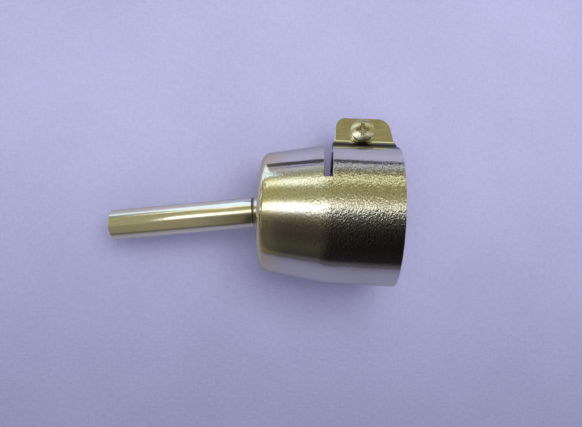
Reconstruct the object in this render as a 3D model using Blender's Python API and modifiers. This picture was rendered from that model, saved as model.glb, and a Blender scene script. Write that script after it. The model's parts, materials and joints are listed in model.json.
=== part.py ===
"""Clamp-on hot-air nozzle for a 22 mm heater pipe, in metres, +Z up.

A drawn and plated sheet-steel bell narrows to a thin outlet tube. A saw cut and an axial slit free two
flaps of its collar. Each flap ends in an ear, and a cross-recessed screw and a hex nut pull the ears together.

Each piece is built in the nozzle's own frame, which an empty named nozzle_axis holds: +X runs along the
bore out of the mouth, whose rim is the plane x = 0, +Y points to the ears and +Z to the screw's head.
The empty lays that frame down as the nozzle lies on a bench: on the flank of its tapered front, rolled a little
so that the ears hang lower than the bore.
"""

import math

import bmesh
import bpy

# Collar and bell
WALL = 0.0008
COLLAR_R = 0.0120
COLLAR_LENGTH = 0.0121
BELL_LENGTH = 0.0231
FRONT_R = 0.01015
SHOULDER_R = 0.0015
FRONT_HOLE_R = 0.0030

# Saw cut across the collar, which frees the flaps
CUT_FROM_MOUTH = 0.01125
CUT_WIDTH = 0.0013
CUT_FLOOR_Y = 0.00345

# Flaps and their ears
EAR_GAP = 0.0020
HEAD_SIDE_BEND_R = 0.0023
NUT_SIDE_BEND_R = 0.0009
EAR_EDGE_Y = 0.0174
EAR_BACK_X = -0.0108
EAR_FRONT_X = -0.00025
EAR_SLANT = 0.0013
EAR_BACK_CORNER_R = 0.0017
EAR_FRONT_CORNER_R = 0.0024
EAR_ROOT_Y = 0.0119
EAR_HOLE_R = 0.0016

# Outlet tube
TUBE_R = 0.00265
TUBE_WALL = 0.00045
TUBE_REACH = 0.0266
TUBE_LEAN = math.radians(7.4)
TIP_ROUND = 0.0003
FLARE_R = 0.0037
FLARE_WALL = 0.0006

# Braze fillet round the tube's root
FILLET_WALL = 0.0002
FILLET_FOOT_R = 0.0037
FILLET_TOP = 0.0014

# M2.5 clamp screw and nut
SCREW_X = -0.00605
SCREW_Y = 0.0147
THREAD_R = 0.00125
SCREW_LENGTH = 0.0080
HEAD_R = 0.0021
HEAD_HEIGHT = 0.0017
HEAD_RIM = 0.0005
TIP_CHAMFER = 0.0003
RECESS_SPAN = 0.0027
RECESS_WIDTH = 0.0006
RECESS_DEPTH = 0.0009
RECESS_CORE_R = 0.0009
NUT_FLATS = 0.0050
NUT_HEIGHT = 0.0020
NUT_HOLE_R = 0.0016

# Resting pose: rolled by three and a half of the bell's flats, so that it lies on a flat
ROLL_FLATS = 3.5

GAP = 0.0003
MERGE = 0.000001
BELL_STEPS = 96
TUBE_STEPS = 48
SCREW_STEPS = 36
ARC_STEPS = 5

COLLAR_BORE_R = COLLAR_R - WALL
COLLAR_MID_R = COLLAR_R - WALL / 2
TAPER = math.atan2(COLLAR_R - FRONT_R, BELL_LENGTH - COLLAR_LENGTH)
EAR_MID_Z = EAR_GAP / 2 + WALL / 2
EAR_FACE_Z = EAR_GAP / 2 + WALL
ROLL = ROLL_FLATS * math.tau / BELL_STEPS

PLATED_STEEL = ((0.78, 0.75, 0.66, 1.0), 0.16)
PLATED_TUBE = ((0.80, 0.78, 0.70, 1.0), 0.12)
BRAZE_METAL = ((0.62, 0.58, 0.48, 1.0), 0.30)
SCREW_METAL = ((0.66, 0.64, 0.56, 1.0), 0.25)


def clear_scene():
    for obj in list(bpy.data.objects):
        bpy.data.objects.remove(obj, do_unlink=True)


def new_collection(name):
    collection = bpy.data.collections.new(name)
    bpy.context.scene.collection.children.link(collection)
    return collection


def metal(name, look):
    colour, roughness = look
    material = bpy.data.materials.new(name)
    material.use_nodes = True
    shader = material.node_tree.nodes["Principled BSDF"]
    shader.inputs["Base Color"].default_value = colour
    shader.inputs["Roughness"].default_value = roughness
    shader.inputs["Metallic"].default_value = 1.0
    return material


def add_object(name, mesh, collection, parent, material=None):
    obj = bpy.data.objects.new(name, mesh)
    collection.objects.link(obj)
    obj.parent = parent
    if material:
        mesh.materials.append(material)
    return obj


def mesh_from_bmesh(name, bm):
    bmesh.ops.recalc_face_normals(bm, faces=bm.faces)
    mesh = bpy.data.meshes.new(name)
    bm.to_mesh(mesh)
    bm.free()
    return mesh


def arc(centre, radius, start, end, steps=ARC_STEPS):
    """Points on an arc, both ends included, in degrees from the first axis towards the second."""
    points = []
    for i in range(steps + 1):
        angle = math.radians(start + (end - start) * i / steps)
        points.append((centre[0] + radius * math.cos(angle), centre[1] + radius * math.sin(angle)))
    return points


def turned(name, profile, steps, closed, collection, parent, material):
    """A profile of (radius, height) points, run down its outer side, spun about the object's own Z."""
    mesh = bpy.data.meshes.new(name)
    count = len(profile)
    edges = [(i, (i + 1) % count) for i in range(count if closed else count - 1)]
    mesh.from_pydata([(radius, 0.0, height) for radius, height in profile], edges, [])
    obj = add_object(name, mesh, collection, parent, material)
    screw = obj.modifiers.new("turn", "SCREW")
    screw.axis = "Z"
    screw.angle = math.tau
    screw.steps = steps
    screw.render_steps = steps
    screw.use_merge_vertices = True
    screw.merge_threshold = MERGE
    screw.use_smooth_shade = True
    return obj


def box_cutter(name, low, high, collection, parent):
    bm = bmesh.new()
    bmesh.ops.create_cube(bm, size=1.0)
    for vertex in bm.verts:
        for axis in range(3):
            vertex.co[axis] = high[axis] if vertex.co[axis] > 0 else low[axis]
    return mark_cutter(add_object(name, mesh_from_bmesh(name, bm), collection, parent))


def round_cutter(name, radius_low, radius_high, low_z, high_z, collection, parent):
    """A cylinder or cone on the screw's axis, from low_z to high_z."""
    bm = bmesh.new()
    bmesh.ops.create_cone(
        bm, cap_ends=True, segments=SCREW_STEPS, radius1=radius_low, radius2=radius_high, depth=high_z - low_z
    )
    obj = add_object(name, mesh_from_bmesh(name, bm), collection, parent)
    obj.location = (SCREW_X, SCREW_Y, (low_z + high_z) / 2)
    return mark_cutter(obj)


def mark_cutter(obj):
    obj.hide_render = True
    obj.display_type = "WIRE"
    return obj


def cut(obj, cutter):
    boolean = obj.modifiers.new(cutter.name, "BOOLEAN")
    boolean.operation = "DIFFERENCE"
    boolean.solver = "EXACT"
    boolean.object = cutter


def flat_plate_mesh(name, outline, thickness):
    """The closed mesh of a flat outline in the XY plane, centred on z = 0."""
    curve = bpy.data.curves.new(name, "CURVE")
    curve.dimensions = "2D"
    curve.fill_mode = "BOTH"
    curve.extrude = thickness / 2
    spline = curve.splines.new("POLY")
    spline.points.add(len(outline) - 1)
    for point, (x, y) in zip(spline.points, outline):
        point.co = (x, y, 0.0, 1.0)
    spline.use_cyclic_u = True
    guide = bpy.data.objects.new(name, curve)
    bpy.context.scene.collection.objects.link(guide)
    bpy.context.view_layer.update()
    mesh = bpy.data.meshes.new_from_object(guide.evaluated_get(bpy.context.evaluated_depsgraph_get()))
    bpy.data.objects.remove(guide, do_unlink=True)
    bm = bmesh.new()
    bm.from_mesh(mesh)
    bmesh.ops.remove_doubles(bm, verts=bm.verts, dist=MERGE)
    bmesh.ops.recalc_face_normals(bm, faces=bm.faces)
    bm.to_mesh(mesh)
    bm.free()
    return mesh


def bell_side(offset):
    """The bell's outside from mouth to front, or its inside when offset is the wall, as (radius, height)."""
    lean = math.degrees(TAPER)
    round_r = SHOULDER_R - offset
    centre_z = -(BELL_LENGTH - SHOULDER_R)
    cone_r = COLLAR_R - math.tan(TAPER) * (-centre_z - COLLAR_LENGTH)
    centre_r = cone_r - SHOULDER_R / math.cos(TAPER)
    knee_z = -COLLAR_LENGTH + offset * math.tan(TAPER / 2)
    side = [(COLLAR_R - offset, 0.0), (COLLAR_R - offset, knee_z)]
    return side + arc((centre_r, centre_z), round_r, -lean, -90)


def build_bell_shell(parts, cutters, root):
    outside = bell_side(0.0)
    front_edge = [(FRONT_HOLE_R, -BELL_LENGTH), (FRONT_HOLE_R, -BELL_LENGTH + WALL)]
    inside = list(reversed(bell_side(WALL)))
    shell = turned(
        "bell_shell", outside + front_edge + inside, BELL_STEPS, True, parts, root,
        metal("plated_shell", PLATED_STEEL),
    )
    shell.rotation_euler = (0.0, math.pi / 2, 0.0)
    reach = 2 * COLLAR_R
    window = box_cutter(
        "flap_window", (-CUT_FROM_MOUTH - CUT_WIDTH, CUT_FLOOR_Y, -reach), (WALL, reach, reach), cutters, root
    )
    cut(shell, window)


def flap_section(side):
    """The flap's middle line in the YZ plane: round the collar, out through the bend, along the ear.

    The ear under the screw's head is bent wide. The other is bent tight, so that the nut's flat can bear on it."""
    bend_r = HEAD_SIDE_BEND_R if side > 0 else NUT_SIDE_BEND_R
    bend_z = EAR_MID_Z + bend_r
    bend_y = math.sqrt((COLLAR_MID_R + bend_r) ** 2 - bend_z**2)
    meeting = math.degrees(math.atan2(bend_z, bend_y))
    root_angle = math.degrees(math.acos(CUT_FLOOR_Y / COLLAR_MID_R)) + 5
    wall = arc((0.0, 0.0), COLLAR_MID_R, root_angle, meeting, 4 * ARC_STEPS)
    bend = arc((bend_y, bend_z), bend_r, 180 + meeting, 270, 2 * ARC_STEPS)
    return [(y, side * z) for y, z in wall + bend[1:] + [(EAR_EDGE_Y, EAR_MID_Z)]]


def ear_surround():
    """The outline of what is cut away around an ear: a tall block with the ear's shape taken out of it."""
    back = EAR_BACK_CORNER_R
    front = EAR_FRONT_CORNER_R
    slant = math.atan2(EAR_SLANT, EAR_EDGE_Y - EAR_ROOT_Y)
    sweep = 90 - math.degrees(slant)
    front_x = EAR_FRONT_X - EAR_SLANT - front * math.tan(math.radians(sweep / 2))
    ear = [(EAR_BACK_X, EAR_ROOT_Y)]
    ear += arc((EAR_BACK_X + back, EAR_EDGE_Y - back), back, 180, 90)
    ear += arc((front_x, EAR_EDGE_Y - front), front, 90, 90 - sweep)
    ear += [(EAR_FRONT_X, EAR_ROOT_Y)]
    far_y = EAR_EDGE_Y + COLLAR_R
    far_x = COLLAR_R
    low_x = -BELL_LENGTH
    block = [(far_x, EAR_ROOT_Y), (far_x, far_y), (low_x, far_y), (low_x, EAR_ROOT_Y)]
    return block + ear


def build_flap(name, side, parts, cutters, root, surround, screw_hole, material):
    """One freed flap of the collar with its ear. side is 1 for the flap under the screw's head, else -1."""
    section = flap_section(side)
    bm = bmesh.new()
    line = [bm.verts.new((-CUT_FROM_MOUTH, y, z)) for y, z in section]
    edges = [bm.edges.new(pair) for pair in zip(line, line[1:])]
    swept = bmesh.ops.extrude_edge_only(bm, edges=edges)["geom"]
    moved = [item for item in swept if isinstance(item, bmesh.types.BMVert)]
    bmesh.ops.translate(bm, verts=moved, vec=(CUT_FROM_MOUTH, 0.0, 0.0))
    flap = add_object(name, mesh_from_bmesh(name, bm), parts, root, material)
    solidify = flap.modifiers.new("sheet", "SOLIDIFY")
    solidify.thickness = WALL
    solidify.offset = 0.0
    solidify.use_even_offset = True
    reach = 2 * COLLAR_R
    root_gap = box_cutter(
        name + "_root_gap", (-reach, -reach, -reach), (reach, CUT_FLOOR_Y + GAP, reach), cutters, root
    )
    cut(flap, root_gap)
    cut(flap, surround)
    cut(flap, screw_hole)


def build_flaps(parts, cutters, root):
    material = metal("plated_flap", PLATED_STEEL)
    reach = 2 * COLLAR_R
    surround = mark_cutter(
        add_object("ear_surround", flat_plate_mesh("ear_surround", ear_surround(), reach), cutters, root)
    )
    screw_hole = round_cutter("ear_hole", EAR_HOLE_R, EAR_HOLE_R, -reach / 2, reach / 2, cutters, root)
    build_flap("collar_flap_upper", 1, parts, cutters, root, surround, screw_hole, material)
    build_flap("collar_flap_lower", -1, parts, cutters, root, surround, screw_hole, material)


def tube_seat(root):
    """An empty on the centre of the bell's front, whose +Z is the leaning tube's axis. It leans level in the rest."""
    level = bpy.data.objects.new("tube_level", None)
    bpy.context.scene.collection.objects.link(level)
    level.parent = root
    level.location = (-BELL_LENGTH, 0.0, 0.0)
    level.rotation_euler = (ROLL, 0.0, 0.0)
    seat = bpy.data.objects.new("tube_seat", None)
    bpy.context.scene.collection.objects.link(seat)
    seat.parent = level
    seat.rotation_euler = (0.0, -math.pi / 2, TUBE_LEAN)
    return seat


def build_tube(parts, seat):
    """The outlet tube, through the hole in the bell's front."""
    bore_r = TUBE_R - TUBE_WALL
    flare_top = -WALL - GAP - FLARE_R * math.sin(TUBE_LEAN)
    profile = [(bore_r, TUBE_REACH), (TUBE_R - TIP_ROUND, TUBE_REACH)]
    profile += arc((TUBE_R - TIP_ROUND, TUBE_REACH - TIP_ROUND), TIP_ROUND, 90, 0, 3)[1:]
    profile += [(TUBE_R, flare_top), (FLARE_R, flare_top), (FLARE_R, flare_top - FLARE_WALL)]
    profile += [(FLARE_R - FLARE_WALL, flare_top - FLARE_WALL), (bore_r, flare_top)]
    turned("nozzle_tube", profile, TUBE_STEPS, True, parts, seat, metal("plated_tube", PLATED_TUBE))


def build_braze_fillet(parts, cutters, root, seat):
    """The fillet of braze metal round the tube's own axis, cut off square where it meets the bell's front."""
    hole_r = TUBE_R + GAP
    foot_z = -FILLET_FOOT_R * math.sin(TUBE_LEAN)
    profile = [(hole_r, FILLET_TOP), (hole_r + FILLET_WALL, FILLET_TOP)]
    profile += [(FILLET_FOOT_R, foot_z), (hole_r, foot_z)]
    fillet = turned("braze_fillet", profile, TUBE_STEPS, True, parts, seat, metal("braze_metal", BRAZE_METAL))
    front_x = -BELL_LENGTH - GAP
    reach = 2 * FILLET_FOOT_R
    cut(fillet, box_cutter("fillet_foot", (front_x, -reach, -reach), (0.0, reach, reach), cutters, root))


def build_screw(parts, cutters, root):
    """The pan-head screw, with its origin under the head on its own axis."""
    seat_z = EAR_FACE_Z + GAP
    dome_drop = HEAD_HEIGHT - HEAD_RIM
    dome_r = (HEAD_R**2 + dome_drop**2) / (2 * dome_drop)
    dome_angle = math.degrees(math.asin(HEAD_R / dome_r))
    profile = arc((0.0, HEAD_HEIGHT - dome_r), dome_r, 90, 90 - dome_angle, 2 * ARC_STEPS)
    profile += [(HEAD_R, 0.0), (THREAD_R, 0.0), (THREAD_R, -SCREW_LENGTH + TIP_CHAMFER)]
    profile += [(THREAD_R - TIP_CHAMFER, -SCREW_LENGTH), (0.0, -SCREW_LENGTH)]
    screw = turned(
        "clamp_screw", profile, SCREW_STEPS, False, parts, root, metal("screw_metal", SCREW_METAL)
    )
    screw.location = (SCREW_X, SCREW_Y, seat_z)
    floor_z = seat_z + HEAD_HEIGHT - RECESS_DEPTH
    above_z = seat_z + 2 * HEAD_HEIGHT
    long_half = RECESS_SPAN / 2
    wide_half = RECESS_WIDTH / 2
    for name, half_x, half_y in (("recess_x", long_half, wide_half), ("recess_y", wide_half, long_half)):
        low = (SCREW_X - half_x, SCREW_Y - half_y, floor_z)
        high = (SCREW_X + half_x, SCREW_Y + half_y, above_z)
        cut(screw, box_cutter(name, low, high, cutters, root))
    core = round_cutter(
        "recess_core", wide_half, RECESS_CORE_R, floor_z - wide_half, above_z, cutters, root
    )
    cut(screw, core)


def build_nut(parts, cutters, root):
    """The hex nut under the lower ear. One flat faces the collar, which keeps it from turning."""
    top_z = -EAR_FACE_Z - GAP
    corner_r = NUT_FLATS / 2 / math.cos(math.pi / 6)
    bm = bmesh.new()
    bmesh.ops.create_cone(bm, cap_ends=True, segments=6, radius1=corner_r, radius2=corner_r, depth=NUT_HEIGHT)
    nut = add_object("clamp_nut", mesh_from_bmesh("clamp_nut", bm), parts, root, metal("nut_metal", SCREW_METAL))
    nut.location = (SCREW_X, SCREW_Y, top_z - NUT_HEIGHT / 2)
    nut.rotation_euler = (0.0, 0.0, math.pi / 6)
    cut(nut, round_cutter("nut_hole", NUT_HOLE_R, NUT_HOLE_R, top_z - 2 * NUT_HEIGHT, 0.0, cutters, root))


def lay_down(root, parts):
    """Tips the nozzle onto its tapered flank, rolls it, and puts the origin under the middle of its footprint."""
    root.rotation_euler = (-ROLL, -TAPER, 0.0)
    bpy.context.view_layer.update()
    graph = bpy.context.evaluated_depsgraph_get()
    points = []
    for obj in parts.objects:
        shape = obj.evaluated_get(graph)
        points += [shape.matrix_world @ vertex.co for vertex in shape.data.vertices]
    low = [min(point[axis] for point in points) for axis in range(3)]
    high = [max(point[axis] for point in points) for axis in range(3)]
    root.location = (-(low[0] + high[0]) / 2, -(low[1] + high[1]) / 2, -low[2])


def main():
    clear_scene()
    parts = new_collection("hot_air_nozzle")
    cutters = new_collection("cutters")
    root = bpy.data.objects.new("nozzle_axis", None)
    bpy.context.scene.collection.objects.link(root)
    build_bell_shell(parts, cutters, root)
    build_flaps(parts, cutters, root)
    seat = tube_seat(root)
    build_tube(parts, seat)
    build_braze_fillet(parts, cutters, root, seat)
    build_screw(parts, cutters, root)
    build_nut(parts, cutters, root)
    lay_down(root, parts)


main()
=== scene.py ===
"""The looks of the clamp-on hot-air nozzle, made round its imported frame, in metres, +Z up.

Every piece is modelled in the nozzle's own frame: +X runs along the bore out of the mouth, whose rim is the
plane x = 0, +Y points to the clamp ears and +Z to the screw's head. add_piece() lays a piece down in the row
frame and keeps the nozzle's coordinates on the mesh, so that one plated finish runs on over its neighbours.
"""

import json
import math

import bmesh
import bpy
import numpy as np
from mathutils import Matrix, Vector


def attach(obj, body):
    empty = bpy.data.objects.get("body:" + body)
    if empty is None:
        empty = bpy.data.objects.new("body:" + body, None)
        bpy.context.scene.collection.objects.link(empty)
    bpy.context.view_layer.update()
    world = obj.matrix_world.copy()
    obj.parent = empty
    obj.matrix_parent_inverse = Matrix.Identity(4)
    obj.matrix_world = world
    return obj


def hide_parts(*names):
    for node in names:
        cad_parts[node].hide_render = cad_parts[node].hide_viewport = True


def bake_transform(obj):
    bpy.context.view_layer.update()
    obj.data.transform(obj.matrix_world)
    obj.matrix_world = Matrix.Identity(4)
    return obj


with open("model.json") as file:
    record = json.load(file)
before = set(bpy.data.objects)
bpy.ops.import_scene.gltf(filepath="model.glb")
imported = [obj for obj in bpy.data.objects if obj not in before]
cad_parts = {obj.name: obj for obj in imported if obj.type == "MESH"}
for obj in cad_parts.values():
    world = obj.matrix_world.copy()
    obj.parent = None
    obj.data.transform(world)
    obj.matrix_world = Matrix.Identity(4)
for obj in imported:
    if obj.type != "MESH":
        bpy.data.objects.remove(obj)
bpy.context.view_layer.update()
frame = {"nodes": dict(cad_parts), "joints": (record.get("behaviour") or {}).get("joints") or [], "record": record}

# The bell. The pipe socket's mount lies SOCKET_INSET inside the mouth, and GAP is what the CAD solids leave
# between pieces that touch. A cut edge of the sheet is rounded from each face with EDGE_R.
SOCKET_INSET = 0.006
GAP = 0.0003
CUT_WIDTH = 0.0013
KNEE_R = 0.0120
SHOULDER_R = 0.0015
FRONT_HOLE_R = 0.0028
EDGE_R = 0.00013
EDGE_STEPS = 4
COLLAR_ROWS = 12
CUT_ROWS = 3
KNEE_ROWS = 10
TAPER_ROWS = 12
SHOULDER_ROWS = 24
FRONT_ROWS = 12
ROUND_COLUMNS = 480

# The two flaps. Their sides leave the lines of the cut and the mouth at FLAP_LEAVE_Y and are the ear's own
# from EAR_ROOT_Y.
HEAD_SIDE_BEND_R = 0.0023
NUT_SIDE_BEND_R = 0.0009
FLAP_LEAVE_Y = 0.0118
EAR_ROOT_Y = 0.0134
EAR_BACK_X = -0.0108
EAR_FRONT_X = -0.00052
EAR_SLANT = 0.241
EAR_BACK_CORNER_R = 0.0017
EAR_FRONT_CORNER_R = 0.0024
EAR_HOLE_R = 0.0015
WALL_ROWS = 96
SIDE_STEPS = 16
BACK_CORNER_STEPS = 14
FRONT_CORNER_STEPS = 18
HOLE_COLUMNS = 64

# The tube and the braze at its root.
TIP_ROUND = 0.00016
FLARE_INSET = 0.0006
SEAM_WIDTH = 0.00026
SEAM_DEPTH = 0.00014
NECK_LENGTH = 0.00120
NECK_PROUD = 0.00003
NECK_EDGE_R = 0.00006
FOOT_SPREAD = 0.00050
FOOT_RISE = 0.7
FOOT_STEPS = 8
BRAZE_SINK = 0.0001
TUBE_COLUMNS = 192

# The screw. Its head's underside rises from seat to rim, and a chamfer leads from the dome to the rim.
# SEAT_GAP is left under the head and over the nut.
HEAD_RIM = 0.00115
HEAD_SEAT_R = 0.00125
SEAT_GAP = 0.00002
HEAD_UNDERCUT = 0.00027
DOME_SHARE = 0.96
RIM_SHARE = 0.86
DOME_STEPS = 24
HEAD_VOXEL = 0.000035
RECESS_SPAN = 0.0027
RECESS_DEPTH = 0.0011
RECESS_WIDTH = 0.00056
RECESS_CENTRE_R = (0.00115, 0.00052, 0.00030)
RECESS_WAIST = 0.0005
RECESS_POINT = 0.0002
CUTTER_RISE = 0.0006
RECESS_COLUMNS = 48
THREAD_R = 0.00123
THREAD_PITCH = 0.00045
THREAD_DEPTH = 0.00027
THREAD_TOP = 0.0004
THREAD_TIP = 0.0004
THREAD_ROWS = 20
SCREW_COLUMNS = 96

# The nut.
NUT_FLATS = 0.0050
NUT_HEIGHT = 0.0020
NUT_HOLE_R = 0.00146
NUT_SINK = 0.00022
NUT_FACE = 0.96
NUT_CORNER_CUT = 0.00008
NUT_CHAMFER_DEG = 30
NUT_COLUMNS = 360

# The camera, the cards that the metal mirrors and the lamp.
CAMERA_POINT = Vector((-0.00499, -0.00279, 0.10071))
CAMERA_VIEW = Vector((0.1204, 0.0, -0.9927))
CAMERA_UP = Vector((-0.0397, 0.9992, -0.0048))
LENS_MM = 31.98
SENSOR_MM = 36.0
FLOOR_HALF = 1.2
FLOOR_Z = 0.0
SHELF_Z = 0.047
LEDGE_Z = 0.022
LEDGE_SLANT = 0.13
KEY_POINT = Vector((0.03, 0.07, 0.22))
KEY_SIZE = (0.16, 0.12)
KEY_ENERGY = 0.33
KEY_COLOUR = (1.0, 0.99, 0.85)


# ---- the nozzle's frame and sizes


def nozzle_frame():
    """The nozzle's frame as a matrix, the pipe socket's sizes and the point of the screw's joint."""
    mounts = {mount["name"]: mount for mount in frame["record"]["mounts"]}
    joints = {joint["name"]: joint for joint in frame["joints"]}
    socket = mounts["heater_pipe_socket"]
    x = Vector(socket["axis"]).normalized()
    z = -Vector(joints["screw_turn"]["axis"])
    y = z.cross(x).normalized()
    matrix = Matrix((x, y, x.cross(y))).transposed().to_4x4()
    matrix.translation = Vector(socket["pos_m"]) + SOCKET_INSET * x
    return matrix, socket["dims"], Vector(joints["screw_turn"]["pos_m"])


NOZZLE, SOCKET, SCREW_POINT = nozzle_frame()


def node_points(node):
    """The points of a CAD node in the nozzle's frame."""
    inverse = NOZZLE.inverted()
    return np.array([inverse @ vertex.co for vertex in frame["nodes"][node].data.vertices])


SHELL = node_points("bell_shell")
FLAP = node_points("collar_flap_upper")
TUBE = node_points("nozzle_tube")
SCREW = node_points("clamp_screw")
COLLAR_R = SHELL[:, 2].max()
WALL = COLLAR_R - SOCKET["r_mm"] / 1000
MID_R = COLLAR_R - WALL / 2
COLLAR_LENGTH = SOCKET["length_mm"] / 1000
BELL_LENGTH = -SHELL[:, 0].min()
TAPER = math.asin(NOZZLE.col[0].z)
CUT_FRONT = -FLAP[:, 0].min()
CUT_BACK = CUT_FRONT + CUT_WIDTH
CUT_ANGLE = math.acos((FLAP[:, 1].min() - GAP) / COLLAR_R)
EAR_EDGE_Y = FLAP[:, 1].max()
SCREW_X, SCREW_Y, EAR_FACE_Z = NOZZLE.inverted() @ SCREW_POINT
EAR_MID_Z = EAR_FACE_Z - WALL / 2


# ---- pieces


def new_object(name, data):
    obj = bpy.data.objects.new(name, data)
    bpy.context.scene.collection.objects.link(obj)
    return obj


def new_mesh(name, points, faces):
    mesh = bpy.data.meshes.new(name)
    mesh.from_pydata([tuple(point) for point in points], [], faces)
    return mesh


def face_outward(mesh):
    bm = bmesh.new()
    bm.from_mesh(mesh)
    bmesh.ops.recalc_face_normals(bm, faces=bm.faces)
    bm.to_mesh(mesh)
    bm.free()


def add_piece(name, points, faces, material, body, node, slot, normals=None, sharp_deg=35.0):
    """A closed mesh given in the nozzle's frame, laid down in the row frame, which stands for a CAD node."""
    mesh = new_mesh(name, points, faces)
    return add_mesh(mesh, name, material, body, node, normals, sharp_deg)


def add_mesh(mesh, name, material, body, node, normals=None, sharp_deg=35.0):
    """add_piece() for a mesh. With a normal for each point, the mesh is shaded by those."""
    face_outward(mesh)
    mesh.shade_smooth()
    mesh.set_sharp_from_angle(angle=math.radians(sharp_deg))
    place = mesh.attributes.new("nozzle_xyz", "FLOAT_VECTOR", "POINT")
    co = np.zeros(len(mesh.vertices) * 3, np.float32)
    mesh.vertices.foreach_get("co", co)
    place.data.foreach_set("vector", co)
    mesh.transform(NOZZLE)
    if normals is not None:
        turn = NOZZLE.to_3x3()
        mesh.set_sharp_from_angle(angle=math.pi)
        mesh.normals_split_custom_set_from_vertices([turn @ Vector(normal) for normal in normals])
    mesh.materials.append(material)
    piece = new_object(name, mesh)
    if body:
        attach(piece, body)
    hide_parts(node)
    return piece


def edge_insets():
    """How far in from a sheet's cut edge the lines of its rounding lie."""
    return [EDGE_R * (1 - math.cos(math.pi / 2 * i / EDGE_STEPS)) for i in range(EDGE_STEPS + 1)]


def rounding(distance):
    """At a distance in from the cut edge: half the sheet's thickness there, and how its normal is shared
    between the way out of the edge and the way out of the face."""
    out = 1 - min(distance / EDGE_R, 1.0)
    rise = math.sqrt(1 - out * out)
    return WALL / 2 - EDGE_R * (1 - rise), out, rise


def spread(start, end, count, taken=()):
    """Evenly spaced values between start and end, without those that lie close to a value in taken."""
    values = np.linspace(start, end, count + 2)[1:-1]
    return [v for v in values if all(abs(v - t) > EDGE_R / 3 for t in taken)]


def circle_arc(centre, radius, start, end, count):
    """Points of an arc in degrees, both ends included."""
    angles = [math.radians(start + (end - start) * i / count) for i in range(count + 1)]
    return [(centre[0] + radius * math.cos(a), centre[1] + radius * math.sin(a)) for a in angles]


def ring_faces(rings, columns, closed):
    """The quads between neighbouring rings of points. If closed, the last ring is joined to the first."""
    faces = []
    for i in range(rings if closed else rings - 1):
        a, b = i * columns, (i + 1) % rings * columns
        for j in range(columns):
            k = (j + 1) % columns
            faces.append([a + j, a + k, b + k, b + j])
    return faces


# ---- the bell


def bell_line(s):
    """A point of the bell's middle line, s along it from the mouth, as (x, radius, heading)."""
    knee_r = KNEE_R - WALL / 2
    shoulder_r = SHOULDER_R - WALL / 2
    collar = COLLAR_LENGTH - knee_r * math.tan(TAPER / 2)
    reach = BELL_LENGTH - WALL / 2 - collar - knee_r * math.sin(TAPER) - shoulder_r * (1 - math.sin(TAPER))
    legs = (
        (collar, 0.0),
        (knee_r * TAPER, knee_r),
        (reach / math.cos(TAPER), 0.0),
        (shoulder_r * (math.pi / 2 - TAPER), shoulder_r),
        (COLLAR_R, 0.0),
    )
    x, radius, heading = 0.0, MID_R, math.pi
    for length, bend_r in legs:
        step = min(s, length)
        if bend_r:
            after = heading + step / bend_r
            x += bend_r * (math.sin(after) - math.sin(heading))
            radius -= bend_r * (math.cos(after) - math.cos(heading))
            heading = after
        else:
            x += step * math.cos(heading)
            radius += step * math.sin(heading)
        s -= step
        if s <= 0:
            break
    return x, radius, heading


def turned_to(heading, start, step):
    """The first length along the middle line, in steps from start, at which it has turned to heading."""
    s = start
    while bell_line(s)[2] < heading:
        s += step
    return s


def bell_rows():
    """The lengths of the bell's rows along its middle line, closer together where it is cut or bends."""
    insets = edge_insets()
    knee = COLLAR_LENGTH - KNEE_R * TAPER / 2
    shoulder = turned_to(math.pi + TAPER + 0.001, 0.0, 0.00005)
    front = turned_to(1.4999 * math.pi, shoulder, 0.00002)
    end = front + bell_line(front)[1] - FRONT_HOLE_R
    fixed = insets + [CUT_FRONT - inset for inset in insets] + [CUT_BACK + inset for inset in insets]
    rows = list(fixed)
    rows += spread(0.0, CUT_FRONT, COLLAR_ROWS, fixed)
    rows += spread(CUT_FRONT, CUT_BACK, CUT_ROWS, fixed)
    rows += spread(knee, knee + KNEE_R * TAPER, KNEE_ROWS, rows)
    rows += spread(CUT_BACK, shoulder, TAPER_ROWS, rows)
    rows += spread(shoulder, front, SHOULDER_ROWS, rows)
    rows += spread(front, end, FRONT_ROWS, rows) + [end]
    return sorted(rows)


def bell_columns():
    """Angles round the bore from +Y, from -180 to 180 degrees, with lines at the saw cut's two floors."""
    insets = [inset / MID_R for inset in edge_insets()]
    within = list(np.linspace(0.0, CUT_ANGLE, round(ROUND_COLUMNS * CUT_ANGLE / math.tau)))[:-1]
    beyond = [CUT_ANGLE + inset for inset in insets]
    count = round(ROUND_COLUMNS * (math.pi - CUT_ANGLE) / math.tau)
    half = within + beyond + spread(beyond[-1], math.pi, count) + [math.pi]
    return [-angle for angle in reversed(half[1:])] + half


def cut_distance(s, angle):
    """A point's distance from a cut edge of the sheet and the way out of it, as (along, round). On the cut's
    lower floor that is the upper floor's way, so the lower floor's edge is shaded the wrong way."""
    past = MID_R * (abs(angle) - CUT_ANGLE)
    beside = min(s - CUT_FRONT, 0.0) + max(s - CUT_BACK, 0.0)
    away = math.hypot(beside, max(past, 0.0))
    if s <= away:
        return s, (-1.0, 0.0)
    if away > 0.0:
        return away, (-beside / away, -math.copysign(max(past, 0.0), angle) / away)
    if s == CUT_BACK:
        return 0.0, (-math.sqrt(0.5), -math.copysign(math.sqrt(0.5), angle))
    return 0.0, (0.0, -1.0)


def bell_vertex(s, angle, side):
    """The point and normal of the bell at s along and angle round it, outside (side 1) or inside (-1)."""
    x, radius, heading = bell_line(s)
    distance, (along, round_way) = cut_distance(s, angle)
    half, out, rise = rounding(distance)
    face_x, face_r = math.sin(heading), -math.cos(heading)
    x += side * half * face_x
    radius += side * half * face_r
    spoke = (math.cos(angle), math.sin(angle))
    level = out * along * math.sin(heading) + rise * side * face_r
    point = (x, radius * spoke[0], radius * spoke[1])
    normal = (
        out * along * math.cos(heading) + rise * side * face_x,
        level * spoke[0] - out * round_way * spoke[1],
        level * spoke[1] + out * round_way * spoke[0],
    )
    return point, normal


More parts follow.
